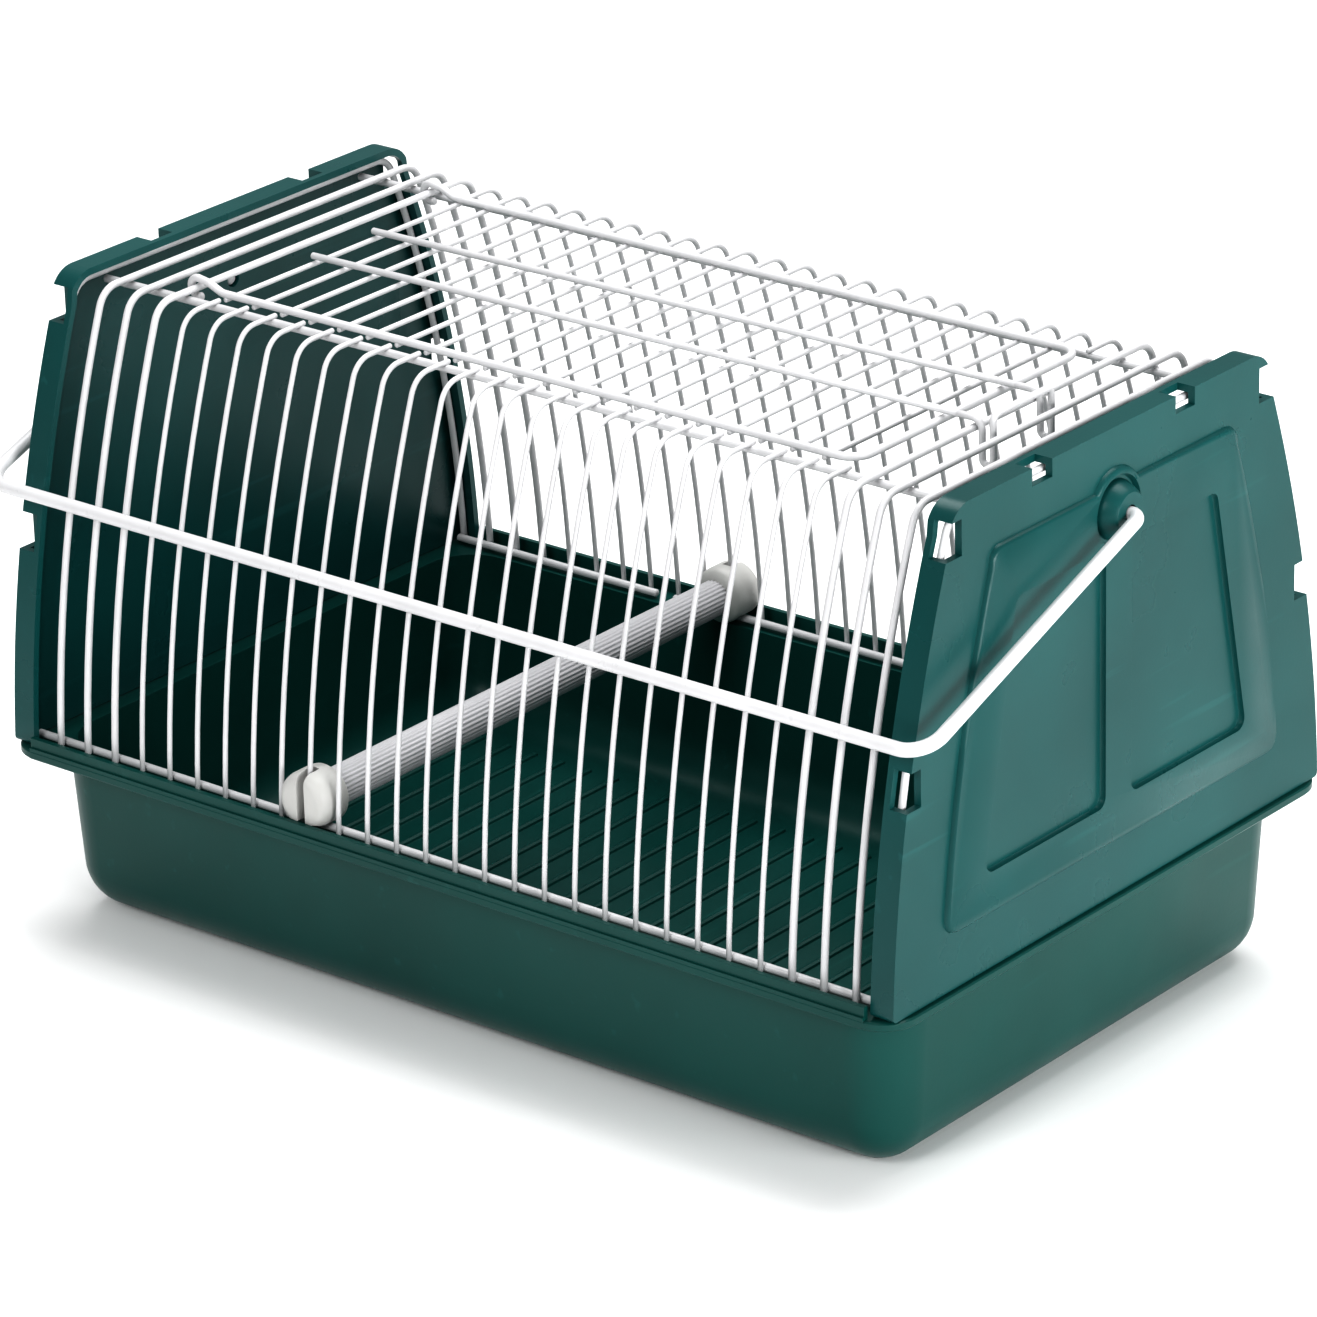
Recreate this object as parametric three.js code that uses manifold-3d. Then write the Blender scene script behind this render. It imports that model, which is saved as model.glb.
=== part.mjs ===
import * as THREE from 'three';
import Module from 'manifold-3d';

// Small-bird transport cage, millimetres, +Z up, +X along the length.
// The origin is the centre of the tub's underside; the front is -Y.

// Main sizes
const PITCH = 10;
const SEAT_Z = 50.5;             // height of the end panels' bottom edge
const PANEL_H = 127.5;
const PANEL_OUT = 149;           // outer face of an end panel
const PANEL_T = 2.1;
const FLANGE_DEPTH = 5;
const FLANGE_T = 2;
const TOP_CORNER_R = 8.5;
const PLATEAU = 1.4;             // height of the raised middle of an end panel
const LIP = 1.8;                 // strip of flange left beside each window

// Wires, as radii
const THIN_R = 0.72;
const THICK_R = 1;
const RAIL_R = 1.1;
const LATCH_R = 0.95;
const HANDLE_R = 1.85;
const WIRE_INSET = 3.4;          // wire centre behind the end panel's outline
const ROOF_Z = SEAT_Z + 123.8;   // centre of the hoops along the roof
const ROOF_BEND_R = 7;
const WIRE_FOOT_Z = SEAT_Z + 0.8;
const TOP_RAIL = { y: 51.5, z: SEAT_Z + 121.4 };
const WELD_STEP = 1.45;          // height of a thin wire over the rail it is welded to
const LOW_RAIL_STEP = 2.5;       // low rail behind the upright wires
const LOW_RAIL_Z = SEAT_Z + 1.3;
const RAIL_END = 145.2;

// Tub
const TUB_HALF = [143.7, 87.2];
const TUB_CORNER_R = 16;
const TUB_FOOT_R = 14.5;
const TUB_WALL = 2.2;
const TUB_DRAFT = 0.045;
const RIM_HALF = [150.4, 95.5];
const RIM_CORNER_R = 10;
const RIM_Z = [SEAT_Z - 2.8, SEAT_Z - 0.3];
const RIB_TOP = SEAT_Z + 3.2;
const RIB_HALF_X = 141.4;

// Door, latch, handle and perch
const DOOR = { z: SEAT_Z + 123.8, y: 47.3, left: -115, right: 105, corner: 5, loop: 2.6 };
const CROSS_WIRE_Z = DOOR.z - WELD_STEP;
const LATCH = { y: 12.3, z0: SEAT_Z + 124.4, z1: SEAT_Z + 126.4, split: 110.5, legs: [117.4, 120.8] };
const HOOK_Z = SEAT_Z + 114.5;
const BRIDGE_Z = SEAT_Z + 128.3;
const HUB = { z: SEAT_Z + 105.7, ring: 11.4, base: 8, tip: 6, out: 154, bore: 2.35 };
const HANDLE = { x: 156.9, reach: [-90, -33], corner: 8, elbow: 2.6, end: 147.4 };
const PERCH = { x: -45, z: SEAT_Z + 8.3, cap: 8.2, tube: 5.15, tubeEnd: 83.2 };

const wasm = await Module();
wasm.setup();

// ---------- solids ----------

function solid(vertices, triangles) {
  return new wasm.Manifold(new wasm.Mesh({
    numProp: 3,
    vertProperties: new Float32Array(vertices.flat()),
    triVerts: new Uint32Array(triangles.flat()),
  }));
}

// Joins equal rings of points into one closed body with flat ends.
function loft(rings) {
  const n = rings[0].length;
  const triangles = [];
  for (let k = 0; k + 1 < rings.length; k += 1) {
    for (let j = 0; j < n; j += 1) {
      const a = k * n + j;
      const b = k * n + ((j + 1) % n);
      triangles.push([a, b, b + n], [a, b + n, a + n]);
    }
  }
  const last = (rings.length - 1) * n;
  for (let j = 1; j + 1 < n; j += 1) {
    triangles.push([0, j + 1, j], [last, last + j, last + j + 1]);
  }
  return solid(rings.flat(), triangles);
}

// A wire along a path of points, mitred where it turns.
function wire(path, radius, sides = 6) {
  const points = path.map((p) => new THREE.Vector3(...p));
  const along = points.slice(1).map((p, i) => p.clone().sub(points[i]).normalize());
  const start = along[0];
  const u = new THREE.Vector3(0, 0, 1);
  if (Math.abs(start.z) > 0.9) u.set(1, 0, 0);
  u.addScaledVector(start, -u.dot(start)).normalize();
  const outer = radius * 1.05;
  const rings = points.map((point, i) => {
    const into = along[Math.max(i - 1, 0)];
    const out = along[Math.min(i, along.length - 1)];
    const mitre = into.clone().add(out).normalize();
    const w = into.clone().cross(u);
    const ring = [];
    for (let j = 0; j < sides; j += 1) {
      const angle = (2 * Math.PI * (j + 0.5)) / sides;
      const v = u.clone().multiplyScalar(outer * Math.cos(angle));
      v.addScaledVector(w, outer * Math.sin(angle));
      v.addScaledVector(into, -v.dot(mitre) / into.dot(mitre));
      ring.push(v.add(point).toArray());
    }
    u.applyQuaternion(new THREE.Quaternion().setFromUnitVectors(into, out));
    return ring;
  });
  return loft(rings);
}

// Rounds the inner points of a path; each point is [x, y, z, bend radius, steps].
function bend(path) {
  const result = [path[0].slice(0, 3)];
  for (let i = 1; i + 1 < path.length; i += 1) {
    const [x, y, z, radius = 0, steps = 3] = path[i];
    const at = new THREE.Vector3(x, y, z);
    if (radius === 0) {
      result.push([x, y, z]);
      continue;
    }
    const back = new THREE.Vector3(...path[i - 1].slice(0, 3)).sub(at).normalize();
    const on = new THREE.Vector3(...path[i + 1].slice(0, 3)).sub(at).normalize();
    const half = back.angleTo(on) / 2;
    const centre = back.clone().add(on).normalize().multiplyScalar(radius / Math.sin(half)).add(at);
    const from = at.clone().addScaledVector(back, radius / Math.tan(half)).sub(centre);
    const to = at.clone().addScaledVector(on, radius / Math.tan(half)).sub(centre);
    const turn = from.angleTo(to);
    const axis = from.clone().cross(to).normalize();
    for (let s = 0; s <= steps; s += 1) {
      result.push(from.clone().applyAxisAngle(axis, (turn * s) / steps).add(centre).toArray());
    }
  }
  result.push(path[path.length - 1].slice(0, 3));
  return result;
}

function box(x, y, z) {
  return wasm.Manifold.cube([x[1] - x[0], y[1] - y[0], z[1] - z[0]]).translate(x[0], y[0], z[0]);
}

// Round bar along X or Y, from one end to the other.
function roundBar(axis, ends, centre, radii, sides) {
  const rings = ends.map((end, i) => {
    const ring = [];
    for (let j = 0; j < sides; j += 1) {
      const angle = (2 * Math.PI * j) / sides;
      const c = radii[i] * Math.cos(angle);
      const s = radii[i] * Math.sin(angle);
      ring.push(axis === 'x' ? [end, centre[0] + c, centre[1] + s] : [centre[0] + s, end, centre[1] + c]);
    }
    return ring;
  });
  return loft(rings);
}

function joinAll(solids) {
  return wasm.Manifold.union(solids);
}

// ---------- outlines ----------

// Half the width of an end panel at a height above its bottom edge.
function halfWidth(height) {
  return 93 - 0.045 * height - 0.00137 * height * height;
}

function roundedRectangle(halfX, halfY, radius, z, steps = 5) {
  const ring = [];
  const corners = [[1, 1], [-1, 1], [-1, -1], [1, -1]];
  corners.forEach(([sx, sy], quarter) => {
    for (let s = 0; s <= steps; s += 1) {
      const angle = (Math.PI / 2) * (quarter + s / steps);
      const x = sx * (halfX - radius) + radius * Math.cos(angle);
      const y = sy * (halfY - radius) + radius * Math.sin(angle);
      ring.push([x, y, z]);
    }
  });
  return ring;
}

// End panel outline in Y and Z, drawn in from its edge and between two heights.
function panelOutline(inset, bottom, top, radius) {
  const right = [];
  const foot = 1.4;
  right.push([halfWidth(bottom) - inset - foot, bottom], [halfWidth(bottom + foot) - inset, bottom + foot]);
  const bendStart = top - radius;
  for (let i = 1; i <= 5; i += 1) {
    const height = bottom + ((bendStart - bottom) * i) / 5;
    right.push([halfWidth(height) - inset, height]);
  }
  const y = halfWidth(bendStart) - inset;
  const lean = 0.35;
  for (let i = 1; i <= 4; i += 1) {
    const angle = lean + ((Math.PI / 2 - lean) * i) / 4;
    right.push([y - radius * (Math.cos(lean) - Math.cos(angle)), top - radius * (1 - Math.sin(angle))]);
  }
  const left = right.map(([a, b]) => [-a, b]).reverse();
  return right.concat(left);
}

function prism(outline, x0, x1) {
  return loft([x0, x1].map((x) => outline.map(([y, z]) => [x, y, z + SEAT_Z])));
}

// ---------- pieces ----------

function makeTub() {
  const top = RIM_Z[1];
  const shell = (gap, floor) => {
    const radius = TUB_FOOT_R - gap;
    const rings = [];
    for (let i = 0; i <= 4; i += 1) {
      const angle = (Math.PI / 2) * (i / 4);
      const inset = gap + TUB_DRAFT * SEAT_Z + radius * (1 - Math.sin(angle));
      const corner = Math.max(TUB_CORNER_R - inset, 3);
      const z = floor + radius * (1 - Math.cos(angle));
      rings.push(roundedRectangle(TUB_HALF[0] - inset, TUB_HALF[1] - inset, corner, z));
    }
    const end = gap > 0 ? top + 1 : RIM_Z[0] + 1;
    rings.push(roundedRectangle(TUB_HALF[0] - gap, TUB_HALF[1] - gap, TUB_CORNER_R - gap, end));
    return loft(rings);
  };
  const rim = loft(RIM_Z.map((z) => roundedRectangle(RIM_HALF[0], RIM_HALF[1], RIM_CORNER_R, z)));
  const parts = [shell(0, 0), rim];
  for (const side of [-1, 1]) {
    const band = (out, z) => {
      const y = [side * 93.3, side * out].sort((a, b) => a - b);
      return box([-RIB_HALF_X, RIB_HALF_X], y, z);
    };
    parts.push(band(95.5, [RIM_Z[0], SEAT_Z + 0.4]), band(94.9, [RIM_Z[0], RIB_TOP]));
  }
  const ribs = [];
  for (let i = -12; i <= 12; i += 1) {
    ribs.push(box([i * PITCH - 1.1, i * PITCH + 1.1], [-66, 66], [1.5, TUB_WALL + 0.9]));
  }
  return joinAll(parts).subtract(shell(TUB_WALL, TUB_WALL)).add(joinAll(ribs));
}

function makeRightPanel() {
  const inner = PANEL_OUT - PANEL_T;
  const face = prism(panelOutline(0, 0, PANEL_H, TOP_CORNER_R), inner - FLANGE_DEPTH, PANEL_OUT);
  const inside = panelOutline(FLANGE_T, -2, PANEL_H - FLANGE_T, TOP_CORNER_R - FLANGE_T);
  const hollow = prism(inside, inner - FLANGE_DEPTH - 1, inner);

  // Raised plateau that follows the edge, with two sunk fields beside the middle rail.
  const plateau = prism(panelOutline(19.5, 15.5, 112.5, 5), inner, PANEL_OUT + PLATEAU);
  const field = (side) => {
    const points = [[5.5, 27], [57, 27], [42.5, 97], [5.5, 97]].map(([y, z]) => [side * y, z]);
    return prism(side > 0 ? points : points.reverse(), PANEL_OUT + 0.1, PANEL_OUT + PLATEAU + 1);
  };

  // Windows at the edge that hook onto the end hoop.
  const windows = [];
  const windowX = [inner - FLANGE_DEPTH + LIP, PANEL_OUT + 1];
  for (const side of [-1, 1]) {
    const notch = (height, size, depth) => {
      const y = [side * (halfWidth(height) - depth), side * 100].sort((a, b) => a - b);
      return box(windowX, y, [SEAT_Z + height - size / 2, SEAT_Z + height + size / 2]);
    };
    windows.push(notch(118.8, 9.5, 4.8), notch(59, 10, 4.8));
    const y = [side * 30.5 - 4.2, side * 30.5 + 4.2];
    windows.push(box(windowX, y, [SEAT_Z + 122.7, SEAT_Z + 130]));
  }

  const at = [0, HUB.z];
  const plateauTop = PANEL_OUT + PLATEAU;
  const ring = roundBar('x', [inner, plateauTop], at, [HUB.ring, HUB.ring - 0.6], 20);
  const well = roundBar('x', [PANEL_OUT, plateauTop + 1], at, [HUB.ring - 2.4, HUB.ring - 2], 20);
  const hub = roundBar('x', [inner, HUB.out], at, [HUB.base + 0.6, HUB.tip], 16);
  const bore = roundBar('x', [inner - 1, HUB.out + 1], at, [HUB.bore, HUB.bore], 12);
  return joinAll([face, plateau, ring])
    .subtract(joinAll([hollow, field(-1), field(1), well, ...windows]))
    .add(hub)
    .subtract(bore);
}

// One side of a hoop, from the foot up to the last point before the roof bend.
function sidePath(x, side) {
  const heights = [WIRE_FOOT_Z - SEAT_Z, 30, 60, 85, 105];
  return heights.map((height) => [x, side * (halfWidth(height) - WIRE_INSET), SEAT_Z + height]);
}

function roofCorner(x, side, z) {
  return [x, side * (halfWidth(z - SEAT_Z) - WIRE_INSET), z, ROOF_BEND_R, 3];
}

function makeHoop(x) {
  const path = [
    ...sidePath(x, -1),
    roofCorner(x, -1, ROOF_Z),
    roofCorner(x, 1, ROOF_Z),
    ...sidePath(x, 1).reverse(),
  ];
  return wire(bend(path), THICK_R);
}

function makeGrille(side, columns) {
  const roof = TOP_RAIL.z + WELD_STEP;
  const wires = columns.map((x) => {
    const path = [...sidePath(x, side), roofCorner(x, side, roof), [x, side * 50, roof]];
    return wire(bend(path), THIN_R);
  });
  const y = side * TOP_RAIL.y;
  return joinAll([...wires, wire([[-RAIL_END, y, TOP_RAIL.z], [RAIL_END, y, TOP_RAIL.z]], RAIL_R)]);
}

function makeLowRail(side, from, to) {
  const y = side * (halfWidth(0) - WIRE_INSET - LOW_RAIL_STEP);
  return wire([[from, y, LOW_RAIL_Z], [to, y, LOW_RAIL_Z]], RAIL_R);
}

function makeDoor(columns) {
  const loop = (y) => {
    const points = [];
    for (let degrees = 300; degrees >= 90; degrees -= 30) {
      const angle = (degrees * Math.PI) / 180;
      points.push([DOOR.left + DOOR.loop * Math.cos(angle), y, ROOF_Z + DOOR.loop * Math.sin(angle)]);
    }
    points.push([DOOR.left + 7, y, DOOR.z]);
    return points;
  };
  const corners = [[DOOR.right, -DOOR.y, DOOR.z, DOOR.corner], [DOOR.right, DOOR.y, DOOR.z, DOOR.corner]];
  const frame = wire(bend([...loop(-DOOR.y), ...corners, ...loop(DOOR.y).reverse()]), RAIL_R);
  const across = columns.map((x) => wire([[x, -48, CROSS_WIRE_Z], [x, 48, CROSS_WIRE_Z]], THIN_R));
  return joinAll([frame, ...across]);
}

function makeLatchArm(side) {
  const y = side * LATCH.y;
  return wire([[DOOR.left + 9.2, y, LATCH.z0], [LATCH.split - 0.2, y, LATCH.z1]], LATCH_R);
}

function makeLatchHooks() {
  const [left, right] = LATCH.legs;
  const half = (right - left) / 2;
  const leg = (side) => {
    const y = side * LATCH.y;
    return [
      [LATCH.split + 0.2, y, LATCH.z1],
      [left, y, LATCH.z1, 3],
      [left, y, HOOK_Z, half * 0.99],
      [right, y, HOOK_Z, half * 0.99],
      [right, y, BRIDGE_Z, 2.2],
    ];
  };
  return wire(bend([...leg(-1), ...leg(1).reverse()]), LATCH_R);
}

function makeHandle() {
  const [reachY, reachZ] = HANDLE.reach;
  const z = HUB.z + reachZ;
  return wire(bend([
    [-HANDLE.end, 0, HUB.z],
    [-HANDLE.x, 0, HUB.z, HANDLE.elbow],
    [-HANDLE.x, reachY, z, HANDLE.corner, 4],
    [HANDLE.x, reachY, z, HANDLE.corner, 4],
    [HANDLE.x, 0, HUB.z, HANDLE.elbow],
    [HANDLE.end, 0, HUB.z],
  ]), HANDLE_R, 8);
}

function makePerchRod() {
  const flutes = 12;
  const rings = [-PERCH.tubeEnd, PERCH.tubeEnd].map((y) => {
    const ring = [];
    for (let j = 0; j < flutes * 2; j += 1) {
      const radius = j % 2 === 0 ? PERCH.tube : PERCH.tube - 0.6;
      const angle = (Math.PI * j) / flutes;
      ring.push([PERCH.x + radius * Math.sin(angle), y, PERCH.z + radius * Math.cos(angle)]);
    }
    return ring;
  });
  return loft(rings);
}

function makePerchCap(side) {
  const outEnd = side * 92.9;
  const inEnd = side * 81.2;
  const at = [PERCH.x, PERCH.z];
  const ends = (a, b) => [a, b].sort((p, q) => p - q);
  const body = roundBar('y', ends(outEnd, inEnd), at, [PERCH.cap, PERCH.cap], 18);
  const socket = roundBar('y', ends(side * 83.5, side * 80), at, [PERCH.tube + 0.4, PERCH.tube + 0.4], 18);
  const wireSlot = box([PERCH.x - 1.35, PERCH.x + 1.35], ends(side * 94, side * 86.4), [SEAT_Z - 2, SEAT_Z + 20]);
  const railZ = [LOW_RAIL_Z - 1.75, LOW_RAIL_Z + 1.75];
  const railSlot = box([PERCH.x - 10, PERCH.x + 10], ends(side * 94, side * 84.2), railZ);
  return body.subtract(joinAll([socket, wireSlot, railSlot]));
}

// ---------- assembly ----------

const GREEN = { color: 0x1f4f4a, roughness: 0.42, metalness: 0 };
const WHITE_WIRE = { color: 0xe9e9ea, roughness: 0.38, metalness: 0.1 };
const WHITE_PLASTIC = { color: 0xe4e4e2, roughness: 0.5, metalness: 0 };

const part = new THREE.Group();

function addPiece(name, shape, look) {
  const source = shape.getMesh();
  const geometry = new THREE.BufferGeometry();
  geometry.setAttribute('position', new THREE.BufferAttribute(source.vertProperties, 3));
  geometry.setIndex(new THREE.BufferAttribute(source.triVerts, 1));
  const flat = geometry.toNonIndexed();
  flat.computeVertexNormals();
  const mesh = new THREE.Mesh(flat, new THREE.MeshStandardMaterial(look));
  mesh.name = name;
  part.add(mesh);
}

const column = (number) => (number - 15.5) * PITCH;
const hoopNumbers = [1, 2, 3, 4, 27, 28, 29, 30];
const thinColumns = Array.from({ length: 22 }, (_, i) => column(i + 5));
const doorColumns = thinColumns.slice(0, 21);

addPiece('tub', makeTub(), GREEN);
const rightPanel = makeRightPanel();
addPiece('right_end_panel', rightPanel, GREEN);
addPiece('left_end_panel', rightPanel.mirror([1, 0, 0]), GREEN);
for (const number of hoopNumbers) {
  addPiece(`hoop_${String(number).padStart(2, '0')}`, makeHoop(column(number)), WHITE_WIRE);
}
addPiece('front_grille', makeGrille(-1, thinColumns), WHITE_WIRE);
addPiece('back_grille', makeGrille(1, thinColumns), WHITE_WIRE);
addPiece('front_low_rail', makeLowRail(-1, -RAIL_END, RAIL_END), WHITE_WIRE);
addPiece('back_low_rail_left', makeLowRail(1, -RAIL_END, -71), WHITE_WIRE);
addPiece('back_low_rail_right', makeLowRail(1, -65, RAIL_END), WHITE_WIRE);
addPiece('door', makeDoor(doorColumns), WHITE_WIRE);
addPiece('latch_arm_front', makeLatchArm(-1), WHITE_WIRE);
addPiece('latch_arm_back', makeLatchArm(1), WHITE_WIRE);
addPiece('latch_hooks', makeLatchHooks(), WHITE_WIRE);
addPiece('carry_handle', makeHandle(), WHITE_WIRE);
addPiece('perch_rod', makePerchRod(), WHITE_PLASTIC);
addPiece('perch_cap_front', makePerchCap(-1), WHITE_PLASTIC);
addPiece('perch_cap_back', makePerchCap(1), WHITE_PLASTIC);

export default part;
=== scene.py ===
import math

import bmesh
import bpy
from mathutils import Matrix, Quaternion, Vector


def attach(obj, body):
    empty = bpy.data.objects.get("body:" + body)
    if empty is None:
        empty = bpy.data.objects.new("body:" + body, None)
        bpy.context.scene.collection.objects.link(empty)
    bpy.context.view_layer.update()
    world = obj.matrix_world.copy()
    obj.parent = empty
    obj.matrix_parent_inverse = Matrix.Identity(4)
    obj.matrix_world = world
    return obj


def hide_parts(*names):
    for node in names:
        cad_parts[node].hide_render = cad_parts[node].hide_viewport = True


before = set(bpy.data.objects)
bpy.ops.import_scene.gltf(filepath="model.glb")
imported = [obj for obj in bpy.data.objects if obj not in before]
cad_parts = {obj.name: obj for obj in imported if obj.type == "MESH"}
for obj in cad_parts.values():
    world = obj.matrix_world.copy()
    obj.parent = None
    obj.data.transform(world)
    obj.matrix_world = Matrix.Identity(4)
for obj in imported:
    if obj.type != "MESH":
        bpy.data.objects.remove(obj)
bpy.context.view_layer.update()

MM = 0.001

# ---------- sizes, in millimetres ----------
# The CAD part's sizes, apart from a few tenths of a millimetre: welded and hinged
# wires sit closer here than the CAD's gaps allow, and the hub's bore is tighter.

PITCH = 10
SEAT_Z = 50.5                      # bottom edge of the end panels

# End panels
PANEL_H = 127.5
PANEL_OUT = 149                    # outer face
PANEL_T = 2.1
PANEL_IN = PANEL_OUT - PANEL_T
FLANGE_DEPTH = 5
FLANGE_T = 2
FLANGE_EDGE = PANEL_IN - FLANGE_DEPTH
TOP_CORNER_R = 8.5
PLATEAU = 1.4                      # height of the raised middle
PLATEAU_TOP = PANEL_OUT + PLATEAU
PLATEAU_INSET = 19.5
PLATEAU_HEIGHTS = (15.5, 112.5)
FIELD_CORNERS = ((5.5, 27), (57, 27), (43, 97), (5.5, 97))
FIELD_CORNER_R = 3
LIP = 1.8                          # strip of flange left beside each window
WINDOW_DEPTH = 4.8
SIDE_WINDOWS = ((118.8, 9.5), (59, 10))     # height of the middle, size
TOP_WINDOW_Y = 30.5
TOP_WINDOW_HALF = 4.2
TOP_WINDOW_FLOOR = 122.7
HUB_Z = SEAT_Z + 105.7
HUB_OUT = 154
BORE_R = 2.25

# Wires, as radii and centre lines
THIN_R = 0.72
THICK_R = 1
RAIL_R = 1.1
LATCH_R = 0.95
HANDLE_R = 1.85
WIRE_INSET = 3.4                   # wire centre behind the end panel's outline
WIRE_FOOT = 0.8                    # above the seat
ROOF_Z = SEAT_Z + 123.8
ROOF_BEND_R = 7
RAIL_END = 145.2
TOP_RAIL_Y = 51.5
TOP_RAIL_Z = SEAT_Z + 121.4
GRILLE_END_Y = 50
LOW_RAIL_Z = SEAT_Z + 1.3
LOW_RAIL_STEP = 2.2                # low rail behind the upright wires
LOW_RAIL_GAP = (-71, -65)          # break in the back low rail
WELD_STEP = 1.5                    # thin wire over the rail it is welded to

# Roof door and its latch
DOOR_Z = SEAT_Z + 123.8
DOOR_Y = 47.3
DOOR_LEFT = -115
DOOR_RIGHT = 105
DOOR_CORNER_R = 6
LOOP_R = 2.55
CROSS_Y = 48
CROSS_Z = DOOR_Z - WELD_STEP
LATCH_Y = 12.3
LATCH_Z = (SEAT_Z + 124.4, SEAT_Z + 126.4)
LATCH_START = DOOR_LEFT + 9.2
LATCH_SPLIT = 110.5
LATCH_LEGS = (117.4, 120.8)
HOOK_Z = SEAT_Z + 114.5
BRIDGE_Z = SEAT_Z + 128.3

# Carry handle
HANDLE_X = 156.9
HANDLE_END = 147.4
HANDLE_REACH = (-90, -33)
HANDLE_CORNER_R = 8
HANDLE_ELBOW_R = 2.6

# Perch
PERCH_X = -45
PERCH_Z = SEAT_Z + 8.3
PERCH_R = 5
PERCH_END = 83.2
FLUTES = 26
FLUTE_DEPTH = 0.2
CAP_PROFILE = (                    # distance from the middle, radius
    (93, 5.6), (92.7, 6.8), (91.6, 7.8), (90, 8.2),
    (85, 8.2), (83, 8), (82, 7.2), (81.2, 5.4),
)
CAP_WIRE_SLOT_HALF = 1.35
CAP_WIRE_SLOT_Y = 86.4
CAP_RAIL_SLOT_HALF = 1.75
CAP_RAIL_SLOT_Y = 84.2

# Tub
TUB_HALF = (143.7, 87.2)
TUB_CORNER_R = 16
TUB_FOOT_R = 14.5
TUB_DRAFT = 0.045
TUB_WALL = 2.2
RIM_HALF = (150.4, 95.5)
RIM_CORNER_R = 10
RIM_TOP = SEAT_Z - 0.3
RIM_LEVELS = ((-2.8, 0.4), (-2.3, 0), (-0.7, 0), (-0.3, 0.4))     # height over the seat, cut
BAND_IN = 93.3
BANDS = ((95.4, -2.6, 0.5), (94.8, -1, 3.2))                      # outer face, low, high
BAND_HALF_X = 141.4
FLOOR_RIBS = 12                    # on each side of the middle one
FLOOR_RIB_HALF_Y = 66
FLOOR_RIB_R = 1.2
FLOOR_RIB_Z = 2


# ---------- materials ----------

def new_material(name, colour, roughness):
    material = bpy.data.materials.new(name)
    material.use_nodes = True
    shader = material.node_tree.nodes["Principled BSDF"]
    shader.inputs["Base Color"].default_value = (*colour, 1)
    shader.inputs["Roughness"].default_value = roughness
    return material, material.node_tree, shader


def noise(tree, scale, detail=3.0, stretch=(1, 1, 1)):
    place = tree.nodes.new("ShaderNodeTexCoord")
    mapping = tree.nodes.new("ShaderNodeMapping")
    mapping.inputs["Scale"].default_value = stretch
    texture = tree.nodes.new("ShaderNodeTexNoise")
    texture.inputs["Scale"].default_value = scale
    texture.inputs["Detail"].default_value = detail
    tree.links.new(place.outputs["Object"], mapping.inputs["Vector"])
    tree.links.new(mapping.outputs["Vector"], texture.inputs["Vector"])
    return texture.outputs["Fac"]


def ramp(tree, value, low, high, out_low, out_high):
    node = tree.nodes.new("ShaderNodeMapRange")
    node.inputs["From Min"].default_value = low
    node.inputs["From Max"].default_value = high
    node.inputs["To Min"].default_value = out_low
    node.inputs["To Max"].default_value = out_high
    tree.links.new(value, node.inputs["Value"])
    return node.outputs["Result"]


def mix(tree, factor, first, second):
    node = tree.nodes.new("ShaderNodeMix")
    node.data_type = "RGBA"
    tree.links.new(factor, node.inputs["Factor"])
    for socket, colour in ((node.inputs["A"], first), (node.inputs["B"], second)):
        if isinstance(colour, tuple):
            socket.default_value = (*colour, 1)
        else:
            tree.links.new(colour, socket)
    return node.outputs["Result"]


def add_bumps(tree, shader, layers):
    """Stacks bump layers of (height, strength, distance in metres)."""
    normal = None
    for height, strength, distance in layers:
        bump = tree.nodes.new("ShaderNodeBump")
        bump.inputs["Strength"].default_value = strength
        bump.inputs["Distance"].default_value = distance
        tree.links.new(height, bump.inputs["Height"])
        if normal is not None:
            tree.links.new(normal, bump.inputs["Normal"])
        normal = bump.outputs["Normal"]
    tree.links.new(normal, shader.inputs["Normal"])


def green_plastic(name, colour, roughness):
    """Moulded plastic with cloudy colour, slight sink marks and fine scratches."""
    material, tree, shader = new_material(name, colour, roughness)
    dark = tuple(c * 0.8 for c in colour)
    scuffed = tuple(c * 1.3 + 0.004 for c in colour)
    cloud = mix(tree, ramp(tree, noise(tree, 14), 0.35, 0.65, 0, 1), dark, colour)
    scratches = noise(tree, 220, 2, (1, 0.06, 0.9))
    worn = ramp(tree, scratches, 0.66, 0.74, 0, 0.5)
    tree.links.new(mix(tree, worn, cloud, scuffed), shader.inputs["Base Color"])
    gloss = ramp(tree, noise(tree, 35, 5), 0.3, 0.7, roughness - 0.05, roughness + 0.07)
    tree.links.new(gloss, shader.inputs["Roughness"])
    shader.inputs["Specular IOR Level"].default_value = 0.27
    add_bumps(tree, shader, [
        (noise(tree, 11, 1), 0.35, 0.0012),
        (noise(tree, 900, 2), 0.12, 0.0001),
        (scratches, 0.05, 0.0001),
    ])
    return material


def white_coat(name, colour, roughness):
    """Powder coat or pale plastic with a fine orange-peel surface."""
    material, tree, shader = new_material(name, colour, roughness)
    shade = tuple(c * 0.9 for c in colour)
    cloud = mix(tree, ramp(tree, noise(tree, 60), 0.3, 0.7, 0, 1), colour, shade)
    tree.links.new(cloud, shader.inputs["Base Color"])
    gloss = ramp(tree, noise(tree, 300, 4), 0.3, 0.7, roughness - 0.08, roughness + 0.1)
    tree.links.new(gloss, shader.inputs["Roughness"])
    add_bumps(tree, shader, [
        (noise(tree, 1400, 2), 0.25, 0.00012),
        (noise(tree, 120, 2), 0.2, 0.0003),
    ])
    return material


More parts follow.
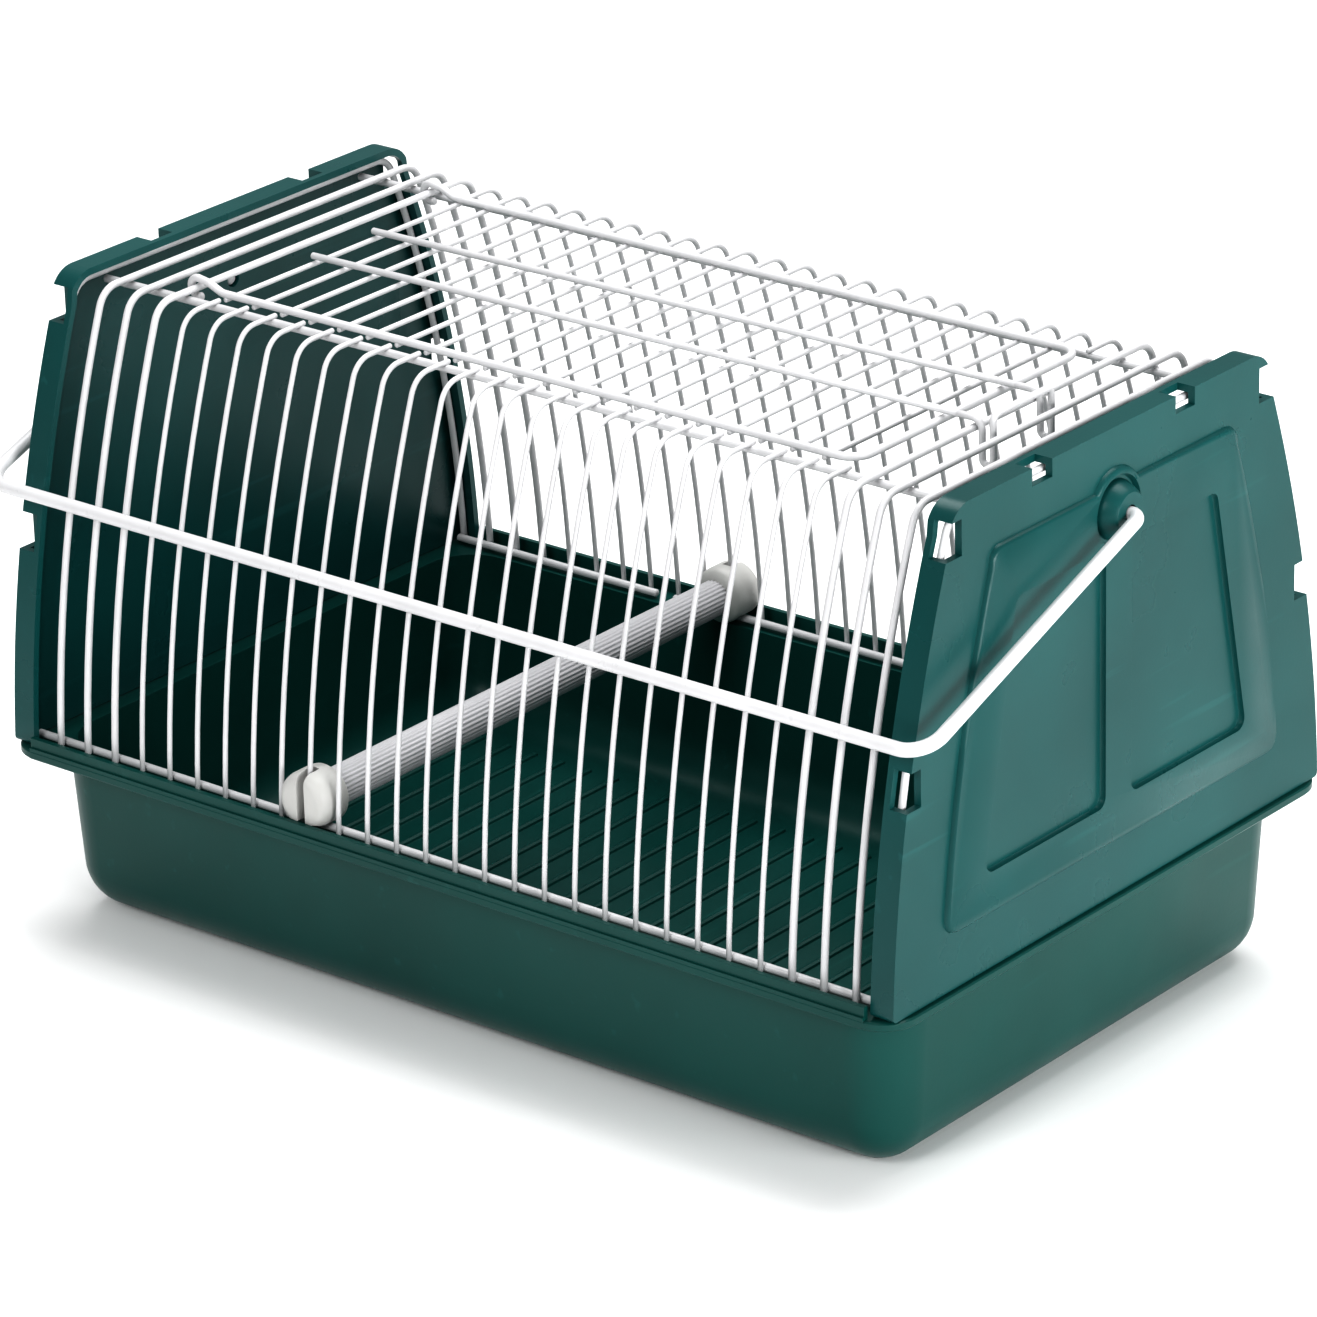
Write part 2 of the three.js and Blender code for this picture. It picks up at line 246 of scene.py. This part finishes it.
panel_green = green_plastic("panel_green", (0.008, 0.074, 0.072), 0.3)
tub_green = green_plastic("tub_green", (0.005, 0.062, 0.054), 0.34)
wire_white = white_coat("wire_white", (0.62, 0.62, 0.63), 0.36)
handle_white = white_coat("handle_white", (0.64, 0.64, 0.65), 0.34)
perch_grey = white_coat("perch_grey", (0.5, 0.5, 0.515), 0.5)
cap_white = white_coat("cap_white", (0.5, 0.5, 0.485), 0.45)


# ---------- solids ----------

def new_object(name, points, faces):
    """Makes a smooth-shaded object of points in millimetres."""
    mesh = bpy.data.meshes.new(name)
    mesh.from_pydata([[c * MM for c in p] for p in points], [], faces)
    mesh.validate()
    thing = bpy.data.objects.new(name, mesh)
    bpy.context.scene.collection.objects.link(thing)
    mesh.shade_smooth()
    return thing


def loft_data(rings, start=0):
    """Points and faces of a closed body through equal rings, numbered from start."""
    count = len(rings[0])
    faces = []
    for k in range(len(rings) - 1):
        for j in range(count):
            a = start + k * count + j
            b = start + k * count + (j + 1) % count
            faces.append((a, b, b + count, a + count))
    last = start + (len(rings) - 1) * count
    faces.append(tuple(start + j for j in reversed(range(count))))
    faces.append(tuple(last + j for j in range(count)))
    return [p for ring in rings for p in ring], faces


def loft(name, rings):
    points, faces = loft_data(rings)
    return new_object(name, points, faces)


def bend(path):
    """Rounds the corners of a path; each point is (x, y, z) or (x, y, z, radius, steps)."""
    result = [tuple(path[0][:3])]
    for before, here, after in zip(path, path[1:], path[2:]):
        at = Vector(here[:3])
        radius = here[3] if len(here) > 3 else 0
        if not radius:
            result.append(tuple(at))
            continue
        steps = here[4] if len(here) > 4 else 7
        back = (Vector(before[:3]) - at).normalized()
        on = (Vector(after[:3]) - at).normalized()
        half = back.angle(on) / 2
        centre = at + (back + on).normalized() * (radius / math.sin(half))
        start = at + back * (radius / math.tan(half)) - centre
        end = at + on * (radius / math.tan(half)) - centre
        axis = start.cross(end).normalized()
        turn = start.angle(end)
        for s in range(steps + 1):
            result.append(tuple(centre + Quaternion(axis, turn * s / steps) @ start))
    result.append(tuple(path[-1][:3]))
    return result


def wire_rings(path, radius, sides):
    """Rings of a wire along a path, mitred at its turns and rounded at its ends."""
    points = [Vector(p) for p in path]
    along = [(b - a).normalized() for a, b in zip(points, points[1:])]
    u = Vector((1, 0, 0)) if abs(along[0].z) > 0.9 else Vector((0, 0, 1))
    u = (u - along[0] * u.dot(along[0])).normalized()
    rings = []
    for i, point in enumerate(points):
        into = along[max(i - 1, 0)]
        out = along[min(i, len(along) - 1)]
        mitre = (into + out).normalized()
        w = into.cross(u)
        ring = []
        for j in range(sides):
            angle = 2 * math.pi * j / sides
            v = u * (radius * math.cos(angle)) + w * (radius * math.sin(angle))
            ring.append(point + v - into * (v.dot(mitre) / into.dot(mitre)))
        rings.append(ring)
        u = into.rotation_difference(out) @ u
    end_scale = 0.72
    end_depth = 0.3 * radius
    for end, outward in ((0, -along[0]), (-1, along[-1])):
        centre = points[end]
        edge = [centre + (p - centre) * end_scale for p in rings[end]]
        rings[end] = [p - outward * end_depth for p in rings[end]]
        rings.insert(0 if end == 0 else len(rings), edge)
    return [[tuple(p) for p in ring] for ring in rings]


def wires(paths, sides=12):
    """One object of several wires; each is (path, radius)."""
    points, faces = [], []
    for path, radius in paths:
        more_points, more_faces = loft_data(wire_rings(path, radius, sides), len(points))
        points += more_points
        faces += more_faces
    return new_object("wires", points, faces)


def box(name, x, y, z):
    corners = [(x[0], y[0]), (x[1], y[0]), (x[1], y[1]), (x[0], y[1])]
    return loft(name, [[(a, b, height) for a, b in corners] for height in z])


def apply_modifiers(thing):
    bpy.context.view_layer.update()
    evaluated = thing.evaluated_get(bpy.context.evaluated_depsgraph_get())
    shape = bpy.data.meshes.new_from_object(evaluated)
    thing.modifiers.clear()
    thing.data = shape


def combine(base, operation, tools):
    """Cuts or joins tool solids into base and removes the tools."""
    for tool in tools:
        modifier = base.modifiers.new("combine", "BOOLEAN")
        modifier.operation = operation
        modifier.solver = "EXACT"
        modifier.object = tool
    apply_modifiers(base)
    for tool in tools:
        bpy.data.objects.remove(tool)


def soften(thing, width, segments):
    """Rounds the sharp edges and shades the rest smooth."""
    modifier = thing.modifiers.new("soften", "BEVEL")
    modifier.width = width * MM
    modifier.segments = segments
    modifier.limit_method = "ANGLE"
    modifier.angle_limit = math.radians(38)
    modifier.harden_normals = True
    modifier.use_clamp_overlap = True
    apply_modifiers(thing)
    thing.data.shade_smooth()


def join(name, things):
    """Makes one object of several separate ones."""
    shape = bmesh.new()
    for thing in things:
        shape.from_mesh(thing.data)
        bpy.data.objects.remove(thing)
    mesh = bpy.data.meshes.new(name)
    shape.to_mesh(mesh)
    shape.free()
    thing = bpy.data.objects.new(name, mesh)
    bpy.context.scene.collection.objects.link(thing)
    return thing


def show(thing, material, body, node):
    """Puts the finished piece in place of the CAD node on its body."""
    thing.name = "show_" + node
    thing.data.materials.clear()
    thing.data.materials.append(material)
    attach(thing, body)
    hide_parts(node)


# ---------- outlines ----------

def half_width(height):
    """Half the width of an end panel at a height above its bottom edge."""
    return 93 - 0.045 * height - 0.00137 * height * height


def rounded_rectangle(half_x, half_y, radius, z, steps=9):
    ring = []
    for quarter, (sx, sy) in enumerate(((1, 1), (-1, 1), (-1, -1), (1, -1))):
        for s in range(steps + 1):
            angle = math.pi / 2 * (quarter + s / steps)
            x = sx * (half_x - radius) + radius * math.cos(angle)
            y = sy * (half_y - radius) + radius * math.sin(angle)
            ring.append((x, y, z))
    return ring


def panel_outline(inset, bottom, top, radius, foot=1.4):
    """Outline drawn in from the panel's edge, with rounded top and bottom corners."""
    right = []
    foot_steps, side_steps, top_steps = 3, 18, 8
    for i in range(foot_steps + 1):
        angle = math.pi / 2 * i / foot_steps
        y = half_width(bottom + foot) - inset - foot * (1 - math.sin(angle))
        right.append((y, bottom + foot * (1 - math.cos(angle))))
    side_length = top - radius - bottom - foot
    for i in range(1, side_steps + 1):
        height = bottom + foot + side_length * i / side_steps
        right.append((half_width(height) - inset, height))
    y = right[-1][0]
    lean = 0.35
    for i in range(1, top_steps + 1):
        angle = lean + (math.pi / 2 - lean) * i / top_steps
        across = radius * (math.cos(lean) - math.cos(angle))
        right.append((y - across, top - radius * (1 - math.sin(angle))))
    return right + [(-a, b) for a, b in reversed(right)]


def field_outline(side):
    """Rounded field on one side of the middle rail."""
    corners = [(0, y, z, FIELD_CORNER_R, 5) for y, z in FIELD_CORNERS]
    rounded = bend([corners[-1], *corners, corners[0]])[1:-1]
    points = [(side * y, z) for _, y, z in rounded]
    return points if side > 0 else points[::-1]


def prism(name, outline, levels):
    """Stacks an outline along X; a level is (x, how far its points move inwards)."""
    heights = [z for _, z in outline]
    middle_y = sum(y for y, _ in outline) / len(outline)
    middle_z = (min(heights) + max(heights)) / 2

    def inwards(value, middle, shrink):
        away = value - middle
        return value - math.copysign(min(shrink, abs(away)), away)

    rings = []
    for x, shrink in levels:
        rings.append([
            (x, inwards(y, middle_y, shrink), inwards(z, middle_z, shrink) + SEAT_Z)
            for y, z in outline
        ])
    return loft(name, rings)


def round_bar(name, profile, sides=48):
    """A turned solid about the hub's axis; the profile is (x, radius)."""
    rings = []
    for x, radius in profile:
        ring = []
        for j in range(sides):
            angle = 2 * math.pi * j / sides
            ring.append((x, radius * math.cos(angle), HUB_Z + radius * math.sin(angle)))
        rings.append(ring)
    return loft(name, rings)


def column(number):
    return (number - 15.5) * PITCH


# ---------- pieces ----------

def make_tub():
    def shell(gap, end):
        radius = TUB_FOOT_R - gap
        smallest_corner = 2.5
        steps = 10
        rings = []
        for i in range(steps + 1):
            angle = math.pi / 2 * i / steps
            inset = gap + TUB_DRAFT * SEAT_Z + radius * (1 - math.sin(angle))
            corner = max(TUB_CORNER_R - inset, smallest_corner)
            z = gap + radius * (1 - math.cos(angle))
            rings.append(rounded_rectangle(TUB_HALF[0] - inset, TUB_HALF[1] - inset, corner, z))
        half_x, half_y = (half - gap for half in TUB_HALF)
        rings.append(rounded_rectangle(half_x, half_y, TUB_CORNER_R - gap, end))
        return loft("shell", rings)

    tub = shell(0, SEAT_Z - 1.5)
    rim = loft("rim", [
        rounded_rectangle(RIM_HALF[0] - cut, RIM_HALF[1] - cut, RIM_CORNER_R, SEAT_Z + z)
        for z, cut in RIM_LEVELS
    ])
    bands = []
    for side in (-1, 1):
        for out, low, high in BANDS:
            y = sorted((side * BAND_IN, side * out))
            z = (SEAT_Z + low, SEAT_Z + high)
            bands.append(box("band", (-BAND_HALF_X, BAND_HALF_X), y, z))
    combine(tub, "UNION", [rim, *bands])
    combine(tub, "DIFFERENCE", [shell(TUB_WALL, RIM_TOP + 2)])
    ribs = []
    for i in range(-FLOOR_RIBS, FLOOR_RIBS + 1):
        ends = [(i * PITCH, y, FLOOR_RIB_Z) for y in (-FLOOR_RIB_HALF_Y, FLOOR_RIB_HALF_Y)]
        ribs.append(wires([(ends, FLOOR_RIB_R)], 8))
    combine(tub, "UNION", [join("floor_ribs", ribs)])
    soften(tub, 0.45, 3)
    return tub


def panel_windows():
    """Cutters for the openings in the flange that show the end hoop."""
    x = (FLANGE_EDGE + LIP, PANEL_OUT + 3)
    past_edge_y = 100
    past_edge_z = 130
    cutters = []
    for side in (-1, 1):
        for height, size in SIDE_WINDOWS:
            y = sorted((side * (half_width(height) - WINDOW_DEPTH), side * past_edge_y))
            z = (SEAT_Z + height - size / 2, SEAT_Z + height + size / 2)
            cutters.append(box("window", x, y, z))
        middle = side * TOP_WINDOW_Y
        y = (middle - TOP_WINDOW_HALF, middle + TOP_WINDOW_HALF)
        cutters.append(box("window", x, y, (SEAT_Z + TOP_WINDOW_FLOOR, SEAT_Z + past_edge_z)))
    return cutters


def make_panel(side):
    panel = prism("panel", panel_outline(0, 0, PANEL_H, TOP_CORNER_R), [
        (FLANGE_EDGE, 0), (PANEL_OUT, 0),
    ])
    plateau = prism("plateau", panel_outline(PLATEAU_INSET, *PLATEAU_HEIGHTS, 5, 4), [
        (PANEL_IN, 0), (PANEL_OUT, 0), (PANEL_OUT + PLATEAU * 0.7, 0.35), (PLATEAU_TOP, 0.9),
    ])
    arch = round_bar("arch", [
        (PANEL_IN, 11.4), (PANEL_OUT, 11.4), (PANEL_OUT + 1, 11), (PLATEAU_TOP, 10.4),
    ])
    combine(panel, "UNION", [plateau, arch])
    inside = panel_outline(FLANGE_T, -2, PANEL_H - FLANGE_T, TOP_CORNER_R - FLANGE_T)
    hollow = prism("hollow", inside, [(FLANGE_EDGE - 1, 0), (PANEL_IN, 0)])
    fields = [
        prism("field", field_outline(way), [
            (PANEL_OUT - 0.2, 0.35), (PANEL_OUT + 0.2, 0.1), (PLATEAU_TOP + 0.6, 0),
        ])
        for way in (-1, 1)
    ]
    well = round_bar("well", [(PANEL_OUT, 8.8), (PLATEAU_TOP + 1, 9.8)])
    combine(panel, "DIFFERENCE", [hollow, *fields, well, *panel_windows()])
    hub = round_bar("hub", [
        (PANEL_IN, 8), (PANEL_OUT + 0.6, 7.9), (PANEL_OUT + 2.2, 7.2), (153.3, 6.2), (HUB_OUT, 5.5),
    ])
    combine(panel, "UNION", [hub])
    bore = round_bar("bore", [(PANEL_IN - 1, BORE_R), (HUB_OUT + 2, BORE_R)])
    combine(panel, "DIFFERENCE", [bore])
    soften(panel, 0.3, 2)
    if side < 0:
        panel.data.transform(Matrix.Scale(-1, 4, (1, 0, 0)))
        panel.data.flip_normals()
    return panel


def side_path(x, side):
    """The upright part of a wire, from its foot to just below the roof."""
    heights = [WIRE_FOOT] + [8 + 9.5 * i for i in range(12)]
    return [(x, side * (half_width(h) - WIRE_INSET), SEAT_Z + h) for h in heights]


def roof_corner(x, side, z):
    return (x, side * (half_width(z - SEAT_Z) - WIRE_INSET), z, ROOF_BEND_R, 8)


def hoop_path(x):
    front, back = (roof_corner(x, side, ROOF_Z) for side in (-1, 1))
    return bend([*side_path(x, -1), front, back, *reversed(side_path(x, 1))])


def grille_paths(side, columns):
    roof = TOP_RAIL_Z + WELD_STEP
    paths = []
    for x in columns:
        end = (x, side * GRILLE_END_Y, roof)
        paths.append((bend([*side_path(x, side), roof_corner(x, side, roof), end]), THIN_R))
    rail = [(x, side * TOP_RAIL_Y, TOP_RAIL_Z) for x in (-RAIL_END, RAIL_END)]
    return [*paths, (rail, RAIL_R)]


def door_paths(columns):
    def loop(y):
        points = []
        for degrees in range(300, 89, -14):
            angle = math.radians(degrees)
            x = DOOR_LEFT + LOOP_R * math.cos(angle)
            points.append((x, y, ROOF_Z + LOOP_R * math.sin(angle)))
        leaving = (DOOR_LEFT + 4, y, ROOF_Z + LOOP_R * 0.75, 4, 4)
        return [*points, leaving, (DOOR_LEFT + 8.5, y, DOOR_Z, 4, 4)]

    corners = [(DOOR_RIGHT, y, DOOR_Z, DOOR_CORNER_R) for y in (-DOOR_Y, DOOR_Y)]
    frame_path = bend([*loop(-DOOR_Y), *corners, *reversed(loop(DOOR_Y))])
    across = [([(x, -CROSS_Y, CROSS_Z), (x, CROSS_Y, CROSS_Z)], THIN_R) for x in columns]
    return [(frame_path, RAIL_R), *across]


def latch_arm_path(side):
    y = side * LATCH_Y
    return [(LATCH_START, y, LATCH_Z[0]), (LATCH_SPLIT - 0.4, y, LATCH_Z[1])]


def hook_path():
    left, right = LATCH_LEGS
    half = (right - left) / 2 * 0.99

    def leg(side):
        y = side * LATCH_Y
        return [
            (LATCH_SPLIT - 1, y, LATCH_Z[1] - 0.01),
            (left, y, LATCH_Z[1], 3),
            (left, y, HOOK_Z, half),
            (right, y, HOOK_Z, half),
            (right, y, BRIDGE_Z, 2.2),
        ]

    return bend([*leg(-1), *reversed(leg(1))])


def handle_path():
    y = HANDLE_REACH[0]
    z = HUB_Z + HANDLE_REACH[1]
    return bend([
        (-HANDLE_END, 0, HUB_Z),
        (-HANDLE_X, 0, HUB_Z, HANDLE_ELBOW_R),
        (-HANDLE_X, y, z, HANDLE_CORNER_R, 10),
        (HANDLE_X, y, z, HANDLE_CORNER_R, 10),
        (HANDLE_X, 0, HUB_Z, HANDLE_ELBOW_R),
        (HANDLE_END, 0, HUB_Z),
    ])


def make_perch_rod():
    points_per_flute = 4
    chamfer = ((-PERCH_END, 0.5), (0.4 - PERCH_END, 0), (PERCH_END - 0.4, 0), (PERCH_END, 0.5))
    rings = []
    for y, shrink in chamfer:
        ring = []
        for j in range(FLUTES * points_per_flute):
            wave = math.sin(2 * math.pi * j / points_per_flute)
            radius = PERCH_R - shrink + FLUTE_DEPTH * wave
            angle = 2 * math.pi * j / (FLUTES * points_per_flute)
            x = PERCH_X + radius * math.sin(angle)
            ring.append((x, y, PERCH_Z + radius * math.cos(angle)))
        rings.append(ring)
    return loft("perch", rings)


def make_perch_cap(side):
    sides = 48
    past_end = 94
    rings = []
    for depth, radius in CAP_PROFILE:
        ring = []
        for j in range(sides):
            angle = 2 * math.pi * j / sides
            x = PERCH_X + side * radius * math.cos(angle)
            ring.append((x, side * depth, PERCH_Z + radius * math.sin(angle)))
        rings.append(ring)
    cap = loft("cap", rings)
    wire_slot = box(
        "slot",
        (PERCH_X - CAP_WIRE_SLOT_HALF, PERCH_X + CAP_WIRE_SLOT_HALF),
        sorted((side * past_end, side * CAP_WIRE_SLOT_Y)),
        (SEAT_Z - 2, SEAT_Z + 20),
    )
    rail_slot = box(
        "slot",
        (PERCH_X - 10, PERCH_X + 10),
        sorted((side * past_end, side * CAP_RAIL_SLOT_Y)),
        (LOW_RAIL_Z - CAP_RAIL_SLOT_HALF, LOW_RAIL_Z + CAP_RAIL_SLOT_HALF),
    )
    combine(cap, "DIFFERENCE", [wire_slot, rail_slot])
    soften(cap, 0.35, 2)
    return cap


# ---------- assembly ----------

def show_wires(node, paths, body="cage_body"):
    show(wires(paths), wire_white, body, node)


show(make_tub(), tub_green, "tub_body", "tub")
for node, side in (("left_end_panel", -1), ("right_end_panel", 1)):
    show(make_panel(side), panel_green, "cage_body", node)

thin_columns = [column(number) for number in range(5, 27)]
for number in (1, 2, 3, 4, 27, 28, 29, 30):
    show_wires(f"hoop_{number:02d}", [(hoop_path(column(number)), THICK_R)])
show_wires("front_grille", grille_paths(-1, thin_columns))
show_wires("back_grille", grille_paths(1, thin_columns))

low_y = half_width(0) - WIRE_INSET - LOW_RAIL_STEP
for node, side, start, end in (
    ("front_low_rail", -1, -RAIL_END, RAIL_END),
    ("back_low_rail_left", 1, -RAIL_END, LOW_RAIL_GAP[0]),
    ("back_low_rail_right", 1, LOW_RAIL_GAP[1], RAIL_END),
):
    show_wires(node, [([(x, side * low_y, LOW_RAIL_Z) for x in (start, end)], RAIL_R)])

show_wires("door", door_paths(thin_columns[:21]), "door_body")
for node, side in (("latch_arm_front", -1), ("latch_arm_back", 1)):
    show_wires(node, [(latch_arm_path(side), LATCH_R)], "door_body")
show_wires("latch_hooks", [(hook_path(), LATCH_R)], "latch_body")

handle = wires([(handle_path(), HANDLE_R)], 20)
show(handle, handle_white, "handle_body", "carry_handle")
show(make_perch_rod(), perch_grey, "cage_body", "perch_rod")
for node, side in (("perch_cap_front", -1), ("perch_cap_back", 1)):
    show(make_perch_cap(side), cap_white, "cage_body", node)


# ---------- studio ----------

floor_material, floor_tree, floor_shader = new_material("paper", (0.93, 0.93, 0.93), 0.8)
floor_gloss = ramp(floor_tree, noise(floor_tree, 60, 3), 0.3, 0.7, 0.7, 0.8)
floor_tree.links.new(floor_gloss, floor_shader.inputs["Roughness"])
bpy.ops.mesh.primitive_plane_add(size=6, location=(0, 0, -0.0002))
floor = bpy.context.object
floor.name = "paper_floor"
floor.data.materials.append(floor_material)

world = bpy.data.worlds.new("studio")
bpy.context.scene.world = world
world.use_nodes = True
world.node_tree.nodes["Background"].inputs["Color"].default_value = (1, 1, 1, 1)
world.node_tree.nodes["Background"].inputs["Strength"].default_value = 0.3

LIGHT_TARGET = Vector((0, 0, 0.08))
for name, at, size, power in (
    ("top_box", (-0.1, 0.35, 1.2), (1.3, 0.8), 15),
    ("right_box", (1.25, -0.2, 0.28), (0.9, 0.4), 13),
    ("front_box", (0.1, -1.3, 0.9), (0.7, 0.5), 7),
):
    data = bpy.data.lights.new(name, "AREA")
    data.shape = "RECTANGLE"
    data.size, data.size_y = size
    data.energy = power
    lamp = bpy.data.objects.new(name, data)
    lamp.location = at
    lamp.rotation_euler = (LIGHT_TARGET - Vector(at)).to_track_quat("-Z", "Y").to_euler()
    bpy.context.scene.collection.objects.link(lamp)

bpy.context.scene.view_settings.view_transform = "Standard"
bpy.context.scene.view_settings.look = "High Contrast"

CAMERA_AT = (1.0332, -1.25, 0.7625)
AZIMUTH = math.radians(39.55)
ELEVATION = math.radians(22.79)
ROLL = math.radians(-1.52)
back = Vector((
    math.sin(AZIMUTH) * math.cos(ELEVATION),
    -math.cos(AZIMUTH) * math.cos(ELEVATION),
    math.sin(ELEVATION),
))
right = Vector((0, 0, 1)).cross(back).normalized()
up = back.cross(right)
tilt = Quaternion(back, ROLL)
turned = Matrix((tilt @ right, tilt @ up, back)).transposed().to_4x4()
camera_data = bpy.data.cameras.new("camera")
camera_data.lens = 180.8
camera_data.sensor_width = 36
camera_data.shift_y = -0.005
camera = bpy.data.objects.new("camera", camera_data)
bpy.context.scene.collection.objects.link(camera)
camera.matrix_world = Matrix.Translation(CAMERA_AT) @ turned
bpy.context.scene.camera = camera
